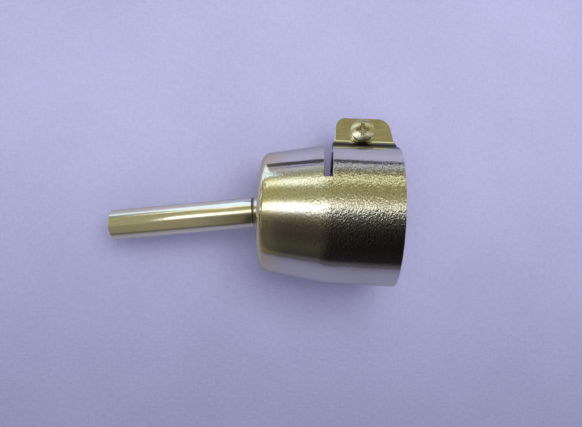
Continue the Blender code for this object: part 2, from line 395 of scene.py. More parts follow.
def build_bell(material):
    rows = bell_rows()
    columns = bell_columns()[:-1]
    points, normals, index = [], [], {}

    def vertex(i, j, side):
        key = (i, j % len(columns), side)
        if key not in index:
            index[key] = len(points)
            point, normal = bell_vertex(rows[i], columns[key[1]], side)
            points.append(point)
            normals.append(normal)
        return index[key]

    faces, border = [], {}
    for i in range(len(rows) - 1):
        for j in range(len(columns)):
            following = columns[(j + 1) % len(columns)]
            centre = (columns[j] + (following if following > columns[j] else math.pi)) / 2
            if (rows[i] + rows[i + 1]) / 2 < CUT_BACK and abs(centre) < CUT_ANGLE:
                continue
            corners = ((i, j), (i + 1, j), (i + 1, j + 1), (i, j + 1))
            for side in (1, -1):
                faces.append([vertex(a, b, side) for a, b in corners])
            for a, b in zip(corners, corners[1:] + corners[:1]):
                edge = frozenset(((a[0], a[1] % len(columns)), (b[0], b[1] % len(columns))))
                border[edge] = border.get(edge, 0) + 1
    for edge, count in border.items():
        if count == 1:
            a, b = tuple(edge)
            faces.append([vertex(*a, 1), vertex(*b, 1), vertex(*b, -1), vertex(*a, -1)])
    return add_piece("bell", points, faces, material, "bell", "bell_shell", "plated_shell", normals)


# ---- the collar's two flaps


class FlapLine:
    """The middle line of a flap: round the collar from the root, out through the bend and along the ear."""

    def __init__(self, bend_r):
        self.bend_r = bend_r
        self.bend_z = EAR_MID_Z + bend_r
        self.bend_y = math.sqrt((MID_R + bend_r) ** 2 - self.bend_z**2)
        self.meeting = math.atan2(self.bend_z, self.bend_y)
        self.wall = MID_R * (CUT_ANGLE - self.meeting)
        self.flat = self.wall + bend_r * (math.pi / 2 - self.meeting)
        self.shift = self.flat - self.bend_y

    def at(self, u):
        """The point at a length u from the root, as (y, z, normal y, normal z)."""
        if u <= self.wall:
            angle = CUT_ANGLE - u / MID_R
            return MID_R * math.cos(angle), MID_R * math.sin(angle), math.cos(angle), math.sin(angle)
        if u <= self.flat:
            angle = math.pi + self.meeting + (u - self.wall) / self.bend_r
            y = self.bend_y + self.bend_r * math.cos(angle)
            z = self.bend_z + self.bend_r * math.sin(angle)
            return y, z, -math.cos(angle), -math.sin(angle)
        return u - self.shift, EAR_MID_Z, 0.0, 1.0

    def at_y(self, y):
        """The length from the root at which the line reaches y, on the outward stretch."""
        low, high = 0.0, self.flat
        for _ in range(40):
            middle = (low + high) / 2
            if self.at(middle)[0] < y:
                low = middle
            else:
                high = middle
        return low


def bezier(a, b, c, d):
    """Points of a cubic curve after its first point, the last included."""
    points = []
    for t in np.linspace(0.0, 1.0, SIDE_STEPS + 1)[1:]:
        w = ((1 - t) ** 3, 3 * t * (1 - t) ** 2, 3 * t * t * (1 - t), t**3)
        points.append(tuple(sum(wi * p[k] for wi, p in zip(w, (a, b, c, d))) for k in (0, 1)))
    return points


def flap_sides(line):
    """The two sides of the flap's outline in (x, u), from the root to the ear's outer edge."""
    edge = EAR_EDGE_Y + line.shift
    root = EAR_ROOT_Y + line.shift
    screw = SCREW_Y + line.shift
    leave = line.at_y(FLAP_LEAVE_Y)
    reach = root - leave
    steps = list(np.linspace(0.0, leave, WALL_ROWS))

    cut = [(-CUT_FRONT, u) for u in steps]
    after = (-CUT_FRONT, leave + 0.6 * reach)
    before = (EAR_BACK_X, root - 0.5 * reach)
    cut += bezier(cut[-1], after, before, (EAR_BACK_X, root))
    cut += [(EAR_BACK_X, screw)]
    back = EAR_BACK_CORNER_R
    cut += circle_arc((EAR_BACK_X + back, edge - back), back, 180, 90, BACK_CORNER_STEPS)

    mouth = [(0.0, u) for u in steps]
    after = (0.0, leave + 0.6 * reach)
    before = (EAR_FRONT_X + 0.4 * reach * EAR_SLANT, root - 0.4 * reach)
    mouth += bezier(mouth[-1], after, before, (EAR_FRONT_X, root))
    mouth += [(EAR_FRONT_X - EAR_SLANT * (SCREW_Y - EAR_ROOT_Y), screw)]
    lean = math.atan(EAR_SLANT)
    front = EAR_FRONT_CORNER_R
    front_x = EAR_FRONT_X - EAR_SLANT * (EAR_EDGE_Y - EAR_ROOT_Y)
    centre_x = front_x - front * math.tan((math.pi / 2 - lean) / 2)
    mouth += circle_arc((centre_x, edge - front), front, math.degrees(lean), 90, FRONT_CORNER_STEPS)
    return cut, mouth


def inset_loop(loop, fixed, distance):
    """The closed loop moved in by a distance, and its ways outward. Edges with an index in fixed stay."""
    count = len(loop)
    area = sum(a[0] * b[1] - b[0] * a[1] for a, b in zip(loop, loop[1:] + loop[:1]))
    way = 1.0 if area > 0 else -1.0
    result, outward = [], []
    for i in range(count):
        lines = []
        for k in ((i - 1) % count, i):
            a, b = Vector(loop[k]), Vector(loop[(k + 1) % count])
            run = (b - a).normalized()
            normal = Vector((run.y, -run.x)) * way
            lines.append((normal, 0.0 if k in fixed else distance, k in fixed))
        (n1, d1, held1), (n2, d2, held2) = lines
        det = n1.x * n2.y - n1.y * n2.x
        if abs(det) < 0.02:
            shift = n1 * -max(d1, d2)
        else:
            shift = Vector((-(d1 * n2.y - d2 * n1.y) / det, -(d2 * n1.x - d1 * n2.x) / det))
        result.append((loop[i][0] + shift.x, loop[i][1] + shift.y))
        outward.append(n2 if held1 else n1 if held2 else (n1 + n2).normalized())
    return result, outward


def build_flap(name, side, node, material):
    """One freed flap of the collar with its ear. side is 1 for the flap under the screw's head, else -1."""
    line = FlapLine(HEAD_SIDE_BEND_R if side > 0 else NUT_SIDE_BEND_R)
    cut, mouth = flap_sides(line)
    loop = cut + list(reversed(mouth))
    root_edge = len(loop) - 1
    hole_centre = (SCREW_X, SCREW_Y + line.shift)
    hole = circle_arc(hole_centre, EAR_HOLE_R, 0, 360, HOLE_COLUMNS)[:-1]
    points, normals, faces = [], [], []

    def vertex(x, u, w, out, out_share, rise, face):
        y, z, normal_y, normal_z = line.at(u)
        run = Vector((normal_z, -normal_y))
        points.append((x, y + face * w * normal_y, side * (z + face * w * normal_z)))
        ny = out_share * out[1] * run.x + rise * face * normal_y
        nz = out_share * out[1] * run.y + rise * face * normal_z
        normals.append((out_share * out[0], ny, side * nz))
        return len(points) - 1

    def rings(outline, fixed, inward):
        """Vertex rings over the rounding, from one face's edge of the flat to the other's."""
        made = {}
        for k, inset in enumerate(edge_insets()):
            moved, outward = inset_loop(outline, fixed, inset * inward)
            half, out_share, rise = rounding(inset)
            for face in (1, -1):
                made[face, k] = [
                    vertex(x, u, half, way * inward, out_share, rise, face)
                    for (x, u), way in zip(moved, outward)
                ]
        order = [made[1, k] for k in reversed(range(EDGE_STEPS + 1))]
        order += [made[-1, k] for k in range(EDGE_STEPS + 1)]
        for a, b in zip(order, order[1:]):
            for i in range(len(a)):
                following = (i + 1) % len(a)
                faces.append([a[i], a[following], b[following], b[i]])
        return order[0], order[-1]

    outer = rings(loop, {root_edge}, 1.0)
    inner = rings(hole, set(), -1.0)
    flat_row = WALL_ROWS + SIDE_STEPS - 1
    middle = flat_row + 1
    last = len(loop) - 1
    half_hole = len(hole) // 2
    for edge, rim in zip(outer, inner):
        for i in range(flat_row):
            faces.append([edge[i], edge[i + 1], edge[last - i - 1], edge[last - i]])
        lower = [edge[flat_row], edge[middle]]
        lower += [rim[k % len(rim)] for k in range(half_hole, len(rim) + 1)]
        lower += [edge[last - middle], edge[last - flat_row]]
        upper = edge[middle : last - middle + 1] + [rim[k] for k in range(half_hole + 1)]
        faces += [lower, upper]
    piece = add_piece(name, points, faces, material, None, node, "plated_shell", normals)
    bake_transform(piece)
    return piece


# ---- the tube and its braze


def turned_piece(profile, columns, place):
    """The points and faces of a closed profile of (radius, height) spun about an axis. place puts a point
    given as (radius, height, angle)."""
    points = [place(r, h, math.tau * j / columns) for r, h in profile for j in range(columns)]
    return points, ring_faces(len(profile), columns, True)


def tube_frame():
    """The axis's foot on the bell's front, the axis away from the bell, and two ways across it."""
    foot = Vector((-BELL_LENGTH, 0.0, 0.0))
    axis = Vector(np.linalg.svd(TUBE - TUBE.mean(0))[2][0])
    axis *= -1 if axis.x > 0 else 1
    across = axis.cross(Vector((0.0, 0.0, 1.0))).normalized()
    return foot, axis, across, axis.cross(across)


TUBE_FOOT, TUBE_AXIS, TUBE_E1, TUBE_E2 = tube_frame()


def tube_sizes():
    """The tube's outer and bore radius, its length beyond the bell's front and its flare's radius."""
    along = (TUBE - np.array(TUBE_FOOT)) @ np.array(TUBE_AXIS)
    spokes = np.linalg.norm(TUBE - np.array(TUBE_FOOT) - np.outer(along, TUBE_AXIS), axis=1)
    outside = spokes[along > 0.001]
    return outside.max(), outside.min(), along.max(), spokes.max()


TUBE_R, TUBE_BORE_R, TUBE_REACH, FLARE_R = tube_sizes()


def tube_spoke(angle):
    return TUBE_E1 * math.cos(angle) + TUBE_E2 * math.sin(angle)


def tube_place(radius, height, angle):
    return TUBE_FOOT + TUBE_AXIS * height + tube_spoke(angle) * radius


def build_tube(material):
    """The outlet tube: rounded at its tip, flared in the bell, with a fine seam where it meets the braze."""
    wall = TUBE_R - TUBE_BORE_R
    flare = (FLARE_R, -FLARE_INSET)
    bend = FLARE_R - TUBE_R
    lip = SEAM_DEPTH / 2
    seam_r, seam_end = TUBE_R - SEAM_DEPTH, NECK_LENGTH + SEAM_WIDTH
    straight_end, tip = TUBE_REACH - 2 * TIP_ROUND, TUBE_REACH - TIP_ROUND
    profile = circle_arc((TUBE_R - TIP_ROUND, tip), TIP_ROUND, 90, 0, 6)
    profile += [(TUBE_R, h) for h in np.linspace(straight_end, seam_end + 2 * lip, 40)]
    profile += circle_arc((TUBE_R - lip, seam_end + lip), lip, 0, -90, 4)
    profile += [(seam_r, seam_end), (seam_r, -FLARE_INSET)]
    profile += circle_arc(flare, bend, 180, 270, 12)
    profile += circle_arc((FLARE_R, -FLARE_INSET - bend - wall / 2), wall / 2, 90, -90, 6)[1:]
    profile += circle_arc(flare, bend + wall, 270, 180, 12)[1:]
    profile += [(TUBE_BORE_R, h) for h in np.linspace(0.0, straight_end, 20)]
    profile += circle_arc((TUBE_BORE_R + TIP_ROUND, tip), TIP_ROUND, 180, 90, 6)
    points, faces = turned_piece(profile, TUBE_COLUMNS, tube_place)
    return add_piece("outlet_tube", points, faces, material, "bell", "nozzle_tube", "plated_tube")


def build_braze(material):
    """The braze round the tube's root: a foot that spreads on the bell's front and a short neck."""
    neck_r = TUBE_R + NECK_PROUD
    inner_r = TUBE_R - SEAM_DEPTH
    profile = [(inner_r, NECK_LENGTH)]
    profile += circle_arc((neck_r - NECK_EDGE_R, NECK_LENGTH - NECK_EDGE_R), NECK_EDGE_R, 90, 0, 4)
    for i in range(FOOT_STEPS + 1):
        angle = math.pi / 2 * i / FOOT_STEPS
        out, up = FOOT_SPREAD * (1 - math.cos(angle)), FOOT_RISE * FOOT_SPREAD * (1 - math.sin(angle))
        profile.append((neck_r + out, up))
    profile += [(neck_r + 0.9 * FOOT_SPREAD, -BRAZE_SINK), (inner_r, -BRAZE_SINK)]

    def place(radius, height, angle):
        """A point whose height is measured from the bell's flat front, a little uneven outside the tube."""
        spoke = tube_spoke(angle)
        swell = 1 + 0.006 * math.sin(3 * angle + 0.6) + 0.004 * math.sin(7 * angle)
        swell = swell if radius > TUBE_R else 1.0
        back = -spoke.x * radius / TUBE_AXIS.x
        return TUBE_FOOT + spoke * radius * swell + TUBE_AXIS * (back + height)

    points, faces = turned_piece(profile, TUBE_COLUMNS, place)
    return add_piece("braze_ring", points, faces, material, "bell", "braze_fillet", "braze_metal")


# ---- the clamp screw and its nut


def screw_place(radius, height, angle):
    """A point round the screw's axis, at a height over the upper ear."""
    x, y = radius * math.cos(angle), radius * math.sin(angle)
    return Vector((SCREW_X + x, SCREW_Y + y, EAR_FACE_Z + height))


def temporary(name, points, faces):
    mesh = new_mesh(name, points, faces)
    face_outward(mesh)
    return new_object(name, mesh)


def solid_of(name, profile, columns):
    """A closed solid turned about the screw's axis. Its profile starts and ends on the axis, top first."""
    rings = profile[1:-1]
    points = [screw_place(r, h, math.tau * j / columns) for r, h in rings for j in range(columns)]
    top, bottom = len(points), len(points) + 1
    points += [screw_place(0.0, profile[0][1], 0.0), screw_place(0.0, profile[-1][1], 0.0)]
    faces = ring_faces(len(rings), columns, False)
    end = (len(rings) - 1) * columns
    for j in range(columns):
        k = (j + 1) % columns
        faces += [[top, k, j], [bottom, end + j, end + k]]
    return temporary(name, points, faces)


def applied(obj):
    """The object's mesh with its modifiers applied. The object is removed."""
    graph = bpy.context.evaluated_depsgraph_get()
    mesh = bpy.data.meshes.new_from_object(obj.evaluated_get(graph))
    bpy.data.objects.remove(obj, do_unlink=True)
    return mesh


def recess_bar(name, turn, top):
    """One bar of the cross recess, turned about the screw's axis. It narrows and shortens downwards."""
    points = []
    for height, half_long, half_wide in (
        (top + CUTTER_RISE, RECESS_SPAN / 2 + 0.00012, 1.35 * RECESS_WIDTH / 2),
        (top - RECESS_DEPTH, RECESS_SPAN / 2 - 0.00062, 0.72 * RECESS_WIDTH / 2),
    ):
        for x, y in ((-1, -1), (1, -1), (1, 1), (-1, 1)):
            long, wide = x * half_long, y * half_wide
            points.append((
                SCREW_X + long * math.cos(turn) - wide * math.sin(turn),
                SCREW_Y + long * math.sin(turn) + wide * math.cos(turn),
                EAR_FACE_Z + height,
            ))
    faces = [(0, 1, 2, 3), (4, 5, 6, 7), (0, 1, 5, 4), (1, 2, 6, 5), (2, 3, 7, 6), (3, 0, 4, 7)]
    return temporary(name, points, faces)


def recess_centre(top):
    """The round middle of the cross recess, which narrows to a point."""
    mouth_r, waist_r, floor_r = RECESS_CENTRE_R
    floor = top - RECESS_DEPTH
    profile = [(0.0, top + CUTTER_RISE), (mouth_r, top + CUTTER_RISE), (waist_r, top - RECESS_WAIST)]
    profile += [(floor_r, floor), (0.0, floor - RECESS_POINT)]
    return solid_of("recess_centre", profile, RECESS_COLUMNS)


def screw_head():
    """The pan head and its cross recess, softened by plating. Its underside rises outside the seat, clear of
    the ear's fold."""
    head_r = np.linalg.norm(SCREW[:, :2] - np.array((SCREW_X, SCREW_Y)), axis=1).max()
    height = SCREW[:, 2].max() - EAR_FACE_Z - GAP
    drop = height - HEAD_RIM
    dome_r = (head_r**2 + drop**2) / (2 * drop)
    sweep = math.degrees(math.asin(head_r / dome_r))
    profile = circle_arc((0.0, height - dome_r), dome_r, 90, 90 - DOME_SHARE * sweep, DOME_STEPS)
    profile += [(head_r, RIM_SHARE * HEAD_RIM), (head_r, HEAD_UNDERCUT)]
    profile += [(HEAD_SEAT_R, SEAT_GAP), (0.0, SEAT_GAP)]
    head = solid_of("head", profile, SCREW_COLUMNS)
    cutters = [recess_bar("bar_x", 0.0, height), recess_bar("bar_y", math.pi / 2, height)]
    cutters.append(recess_centre(height))
    for cutter in cutters:
        boolean = head.modifiers.new(cutter.name, "BOOLEAN")
        boolean.operation = "DIFFERENCE"
        boolean.solver = "EXACT"
        boolean.object = cutter
    remesh = head.modifiers.new("skin", "REMESH")
    remesh.mode = "VOXEL"
    remesh.voxel_size = HEAD_VOXEL
    soften = head.modifiers.new("soften", "SMOOTH")
    soften.factor = 0.5
    soften.iterations = 4
    mesh = applied(head)
    for cutter in cutters:
        bpy.data.objects.remove(cutter, do_unlink=True)
    return mesh


def screw_thread():
    """The threaded shank: a right-hand V thread that starts inside the head and ends in a chamfered tip."""
    low = SCREW[:, 2].min() - EAR_FACE_Z
    count = round((THREAD_TOP - low) / THREAD_PITCH * THREAD_ROWS)
    heights = np.linspace(THREAD_TOP, low, count)
    profile = [(0.0, THREAD_TOP)] + [(THREAD_R, h) for h in heights] + [(0.0, low)]
    shank = solid_of("shank", profile, SCREW_COLUMNS)
    for vertex in shank.data.vertices:
        x, y = vertex.co.x - SCREW_X, vertex.co.y - SCREW_Y
        if math.hypot(x, y) < 1e-6:
            continue
        angle = math.atan2(y, x)
        height = vertex.co.z - EAR_FACE_Z
        phase = (height / THREAD_PITCH - angle / math.tau) % 1.0
        groove = max(0.0, 1.0 - abs(phase - 0.5) / 0.43) ** 0.9
        radius = THREAD_R - max(THREAD_DEPTH * groove, low + THREAD_TIP - height)
        vertex.co.x = SCREW_X + radius * math.cos(angle)
        vertex.co.y = SCREW_Y + radius * math.sin(angle)
    return applied(shank)


def build_screw(material):
    bm = bmesh.new()
    for mesh in (screw_head(), screw_thread()):
        bm.from_mesh(mesh)
        bpy.data.meshes.remove(mesh)
    joined = bpy.data.meshes.new("clamp_screw_m2_5")
    bm.to_mesh(joined)
    bm.free()
    return add_mesh(joined, "screw_m2_5", material, "screw", "clamp_screw", sharp_deg=50)


def nut_section(angle):
    """The nut's closed section at an angle from a flat's middle, as (radius, height from its top face), with
    a countersunk hole, chamfered corners and rounded edges."""
    corner_r = NUT_FLATS / 2 / math.cos(math.pi / 6) - NUT_CORNER_CUT
    within = (angle + math.pi / 6) % (math.pi / 3) - math.pi / 6
    hex_r = min(NUT_FLATS / 2 / math.cos(within), corner_r)
    face_r = NUT_FACE * NUT_FLATS / 2
    drop = max(0.0, hex_r - face_r) * math.tan(math.radians(NUT_CHAMFER_DEG))
    upper = [(NUT_HOLE_R, -NUT_SINK), (NUT_HOLE_R + NUT_SINK, 0.0)]
    upper += [((NUT_HOLE_R + face_r) / 2, 0.0), (face_r, 0.0), ((face_r + hex_r) / 2, -0.45 * drop)]
    upper += [(hex_r - 0.00003, -0.9 * drop), (hex_r, -drop - 0.00004)]
    return upper + [(r, -NUT_HEIGHT - h) for r, h in reversed(upper)]


def build_nut(material):
    """The hex nut under the lower ear, with a flat towards the collar."""
    top = -2 * EAR_FACE_Z - SEAT_GAP
    angles = [math.tau * j / NUT_COLUMNS for j in range(NUT_COLUMNS)]
    sections = [nut_section(angle) for angle in angles]
    points = [
        screw_place(r, top + h, angle + math.pi / 2)
        for section, angle in zip(sections, angles)
        for r, h in section
    ]
    faces = ring_faces(NUT_COLUMNS, len(sections[0]), True)
    place = ("lower_flap", "clamp_nut", "screw_metal")
    return add_piece("nut_m2_5", points, faces, material, *place, sharp_deg=40)


# ---- materials

# What the plated steel reflects at grazing angles.
GRAZING_TINT = (0.66, 0.68, 0.70, 1.0)

# The plated sheet: where its finish changes in the nozzle's frame, its colours and its relief.
COLLAR_X = (-0.0170, -0.0095)
GRAIN_Z = (0.0068, 0.0107)
GRAIN_Y = (0.0046, 0.0070)
SHEET_HEAT_X = (-0.0180, -0.0232)
FOLD_OUTER_Y = (0.01285, 0.01240)
FOLD_INNER_Y = (0.00970, 0.01050)
FOLD_Z = (0.0008, 0.0012)
STREAK_Y = (0.0126, 0.0134)
SHEET_PALE = (0.80, 0.775, 0.68)
SHEET_STAINED = (0.755, 0.72, 0.60)
SHEET_BROWNED = (0.74, 0.665, 0.40)
DARK_FLECK = (0.44, 0.41, 0.33)
PALE_FLECK = (1.0, 0.985, 0.90)
PALE_STREAK = (1.0, 0.97, 0.84)
# Painted shade: a near-black colour laid in the fold under the screw's ear, where it lies in shade.
FOLD_SHADE = (0.060, 0.056, 0.030)
SHEET_WAVES = 0.000030
TURNING_LINES = 0.0000022
GRAIN_DEPTH = 0.000056

# The plated tube.
TUBE_HEAT_X = (-0.034, -0.047)
TUBE_DULL_X = (-0.024, -0.038)
TUBE_PALE = (0.83, 0.80, 0.68)
TUBE_STAINED = (0.80, 0.74, 0.54)
TUBE_BROWNED = (0.75, 0.715, 0.53)
# Painted shade: a near-black colour laid in the seam at the tube's root.
SEAM_SHADE = (0.06, 0.055, 0.045)
TUBE_WAVES = 0.000038
DRAWN_LINES = 0.0000022
TUBE_GRAIN = 0.000006


class Nodes:
    """The node tree of a new material or world, with short ways to add nodes. Colours are (r, g, b)."""

    def __init__(self, owner):
        owner.use_nodes = True
        self.owner = owner
        self.tree = owner.node_tree
        self.shader = self.tree.nodes.get("Principled BSDF")

    def set(self, socket, value):
        if isinstance(value, bpy.types.NodeSocket):
            self.tree.links.new(value, socket)
        else:
            socket.default_value = (*value, 1.0) if socket.type == "RGBA" else value

    def add(self, kind, inputs=None, **settings):
        node = self.tree.nodes.new(kind)
        for key, value in settings.items():
            setattr(node, key, value)
        for key, value in (inputs or {}).items():
            self.set(node.inputs[key], value)
        return node

    def surface(self, colour, rough, normal, metallic):
        """Sets the shader's inputs and gives the material."""
        inputs = {"Base Color": colour, "Roughness": rough, "Normal": normal, "Metallic": metallic}
        for key, value in inputs.items():
            self.set(self.shader.inputs[key], value)
        return self.owner

    def nozzle_place(self):
        return self.add("ShaderNodeAttribute", attribute_name="nozzle_xyz").outputs["Vector"]

    def own_place(self):
        return self.add("ShaderNodeTexCoord").outputs["Object"]

    def split(self, vector):
        return tuple(self.add("ShaderNodeSeparateXYZ", {0: vector}).outputs)

    def math(self, operation, a, b=0.0):
        return self.add("ShaderNodeMath", {0: a, 1: b}, operation=operation).outputs[0]

    def product(self, first, *others):
        for other in others:
            first = self.math("MULTIPLY", first, other)
        return first

    def total(self, first, *others):
        for other in others:
            first = self.math("ADD", first, other)
        return first

    def scaled(self, vector, factors):
        return self.add("ShaderNodeVectorMath", {0: vector, 1: factors}, operation="MULTIPLY").outputs[0]

    def noise(self, place, cells, detail, rough):
        """Noise with so many cells in a metre along each axis."""
        inputs = {"Vector": self.scaled(place, cells), "Scale": 1.0, "Detail": detail, "Roughness": rough}
        return self.add("ShaderNodeTexNoise", inputs).outputs["Fac"]

    def ramp(self, value, low, high, to_low=0.0, to_high=1.0, kind="SMOOTHSTEP"):
        """Runs from to_low where value is low to to_high where it is high, which may be the smaller."""
        inputs = {"Value": value, "From Min": low, "From Max": high, "To Min": to_low, "To Max": to_high}
        return self.add("ShaderNodeMapRange", inputs, interpolation_type=kind).outputs[0]

    def between(self, share, low, high):
        return self.ramp(share, 0.0, 1.0, low, high, "LINEAR")

    def mix(self, share, a, b):
        """Colour a where share is 0 and colour b where it is 1."""
        return self.add("ShaderNodeMix", {0: share, 6: a, 7: b}, data_type="RGBA").outputs[2]

    def bump(self, height, distance, normal=None):
        inputs = {"Height": height, "Strength": 1.0, "Distance": distance}
        if normal:
            inputs["Normal"] = normal
        return self.add("ShaderNodeBump", inputs).outputs["Normal"]


def plated_sheet():
    """Bright plate over turned sheet steel, polished on the taper, browned by heat at its front, grained on
    the collar's top away from the ear, and with painted shade in the fold under the screw's ear."""
    nodes = Nodes(bpy.data.materials.new("plated_sheet"))
    place = nodes.nozzle_place()
    x, y, z = nodes.split(place)
    collar = nodes.ramp(x, *COLLAR_X)
    top = nodes.product(nodes.ramp(z, *GRAIN_Z, 0.08, 1.0), nodes.ramp(y, *GRAIN_Y, 1.0, 0.12))
    grain = nodes.noise(place, (4300.0, 2500.0, 2500.0), 1.0, 0.6)
    lines = nodes.noise(place, (7500.0, 330.0, 330.0), 1.0, 0.5)
    waves = nodes.noise(place, (150.0, 260.0, 260.0), 1.0, 0.4)
    depth = nodes.product(nodes.between(collar, 0.20, 1.0), top)
    normal = nodes.bump(waves, SHEET_WAVES)
    normal = nodes.bump(lines, TURNING_LINES, normal)
    normal = nodes.bump(nodes.product(grain, depth), GRAIN_DEPTH, normal)

    stain = nodes.ramp(nodes.noise(place, (240.0, 160.0, 160.0), 4.0, 0.6), 0.35, 0.75)
    colour = nodes.mix(stain, SHEET_PALE, SHEET_STAINED)
    blotch = nodes.product(nodes.math("SUBTRACT", stain, 0.5), 0.0012)
    heat = nodes.ramp(nodes.total(x, blotch), *SHEET_HEAT_X)
    colour = nodes.mix(heat, colour, SHEET_BROWNED)
    fleck = nodes.noise(place, (3600.0, 3000.0, 3000.0), 2.0, 0.7)
    worn = nodes.product(nodes.between(collar, 0.50, 0.75), top)
    colour = nodes.mix(nodes.product(nodes.ramp(fleck, 0.47, 0.34), worn), colour, DARK_FLECK)
    colour = nodes.mix(nodes.product(nodes.ramp(fleck, 0.55, 0.66), worn), colour, PALE_FLECK)
    streak = nodes.ramp(nodes.noise(place, (420.0, 1900.0, 420.0), 3.0, 0.6), 0.42, 0.66)
    colour = nodes.mix(nodes.product(streak, nodes.ramp(y, *STREAK_Y, 0.0, 0.75)), colour, PALE_STREAK)
    # Painted shade in the fold under the screw's ear, which is also made rougher there.
    fold = nodes.product(nodes.ramp(y, *FOLD_OUTER_Y), nodes.ramp(y, *FOLD_INNER_Y), nodes.ramp(z, *FOLD_Z))
    fold = nodes.product(fold, nodes.ramp(x, -CUT_FRONT - GAP, -CUT_FRONT))
    colour = nodes.mix(nodes.product(fold, 0.93), colour, FOLD_SHADE)

    rough = nodes.total(nodes.product(collar, top, 0.055), 0.080)
    rough = nodes.total(rough, nodes.product(stain, 0.02), nodes.product(fold, 0.30))
    nodes.shader.inputs["Specular Tint"].default_value = GRAZING_TINT
    return nodes.surface(colour, rough, normal, nodes.between(heat, 1.0, 0.93))


def plated_tube():
    """Bright plate on drawn tube, with faint lines along it, that hot air has browned and dulled to the tip.
    Painted shade darkens the seam at its root."""
    nodes = Nodes(bpy.data.materials.new("plated_drawn_tube"))
    place = nodes.nozzle_place()
    blotch = nodes.noise(place, (230.0, 420.0, 420.0), 3.0, 0.6)
    far = nodes.total(nodes.split(place)[0], nodes.product(nodes.math("SUBTRACT", blotch, 0.5), 0.010))
    heat = nodes.ramp(far, *TUBE_HEAT_X)
    waves = nodes.noise(place, (170.0, 420.0, 420.0), 1.0, 0.4)
    lines = nodes.noise(place, (320.0, 5200.0, 5200.0), 2.0, 0.5)
    grain = nodes.noise(place, (3600.0, 3000.0, 3000.0), 2.0, 0.5)
    normal = nodes.bump(waves, TUBE_WAVES)
    normal = nodes.bump(lines, DRAWN_LINES, normal)
    normal = nodes.bump(grain, TUBE_GRAIN, normal)

    # Painted shade: the seam at the tube's root is darkened towards black, and made rougher.
    dot = nodes.add("ShaderNodeVectorMath", {0: place, 1: TUBE_AXIS}, operation="DOT_PRODUCT")
    seam = NECK_LENGTH + SEAM_WIDTH / 2 + TUBE_FOOT.dot(TUBE_AXIS)
    off = nodes.math("ABSOLUTE", nodes.math("SUBTRACT", dot.outputs["Value"], seam))
    seam_shade = nodes.ramp(off, 1.1 * SEAM_WIDTH, 0.6 * SEAM_WIDTH)
    colour = nodes.mix(nodes.ramp(blotch, 0.35, 0.65), TUBE_PALE, TUBE_STAINED)
    colour = nodes.mix(heat, colour, TUBE_BROWNED)
    colour = nodes.mix(nodes.product(seam_shade, 0.85), colour, SEAM_SHADE)
    rough = nodes.total(nodes.ramp(blotch, 0.3, 0.7, 0.08, 0.14), nodes.product(heat, 0.05))
    rough = nodes.total(rough, nodes.product(seam_shade, 0.25))
    nodes.shader.inputs["Specular Tint"].default_value = GRAZING_TINT
    return nodes.surface(colour, rough, normal, nodes.ramp(far, *TUBE_DULL_X, 0.94, 0.87))


def dull_plate(name, light, dark, rough_low, rough_high, grain_depth):
    """Plate over a rougher metal: the braze and the fasteners."""
    nodes = Nodes(bpy.data.materials.new(name))
    place = nodes.nozzle_place()
    grain = nodes.noise(place, (3600.0, 3600.0, 3600.0), 3.0, 0.6)
    blotch = nodes.ramp(nodes.noise(place, (900.0, 900.0, 900.0), 3.0, 0.6), 0.35, 0.7)
    rough = nodes.ramp(grain, 0.3, 0.7, rough_low, rough_high)
    return nodes.surface(nodes.mix(blotch, light, dark), rough, nodes.bump(grain, grain_depth), 1.0)


def pale_card():
    """Lavender card with a faint cloud and weave, and painted shade that makes it a little darker on the
    side away from the ears.
    """
    nodes = Nodes(bpy.data.materials.new("pale_card"))
    place = nodes.own_place()
    cloud = nodes.ramp(nodes.noise(place, (38.0, 38.0, 38.0), 3.0, 0.55), 0.3, 0.7)
    colour = nodes.mix(cloud, (0.420, 0.418, 0.685), (0.450, 0.448, 0.730))
    # Painted shade: the card darkens towards -Y, in place of a lamp's light falling off.
    shade = nodes.mix(nodes.ramp(nodes.split(place)[1], -0.060, 0.020), (0.64, 0.64, 0.66), (1.0, 1.0, 1.0))
    weave = nodes.noise(place, (2400.0, 900.0, 1000.0), 2.0, 0.6)
    thread = nodes.noise(place, (800.0, 2600.0, 1000.0), 2.0, 0.6)
    mottle = nodes.ramp(nodes.total(weave, thread), 0.80, 1.20)
    mottle = nodes.mix(mottle, (0.955, 0.955, 0.965), (1.035, 1.035, 1.03))
    fibre = nodes.noise(place, (1900.0, 2300.0, 2000.0), 3.0, 0.6)
    colour = nodes.scaled(nodes.scaled(colour, shade), mottle)
    nodes.shader.inputs["Specular IOR Level"].default_value = 0.2
    return nodes.surface(colour, nodes.ramp(fibre, 0.3, 0.7, 0.72, 0.85), nodes.bump(fibre, 0.000006), 0.0)


# ---- floor and cards


def build_floor():
    mesh = bpy.data.meshes.new("floor")
    bm = bmesh.new()
    bmesh.ops.create_grid(bm, x_segments=24, y_segments=24, size=FLOOR_HALF)
    bm.to_mesh(mesh)
    bm.free()
    floor = new_object("floor", mesh)
    mesh.materials.append(pale_card())


def card_light(name, colour, near_x, far_x, near_colour):
    """A glow of one colour, or one that runs from near_colour at near_x to colour at far_x."""
    nodes = Nodes(bpy.data.materials.new(name + "_light"))
    if near_colour:
        share = nodes.ramp(nodes.split(nodes.own_place())[0], near_x, far_x)
        colour = nodes.mix(share, near_colour, colour)
    emission = nodes.add("ShaderNodeEmission", {"Color": colour, "Strength": 1.0})
    nodes.set(nodes.tree.nodes["Material Output"].inputs["Surface"], emission.outputs[0])
    nodes.tree.nodes.remove(nodes.shader)
    return nodes.owner


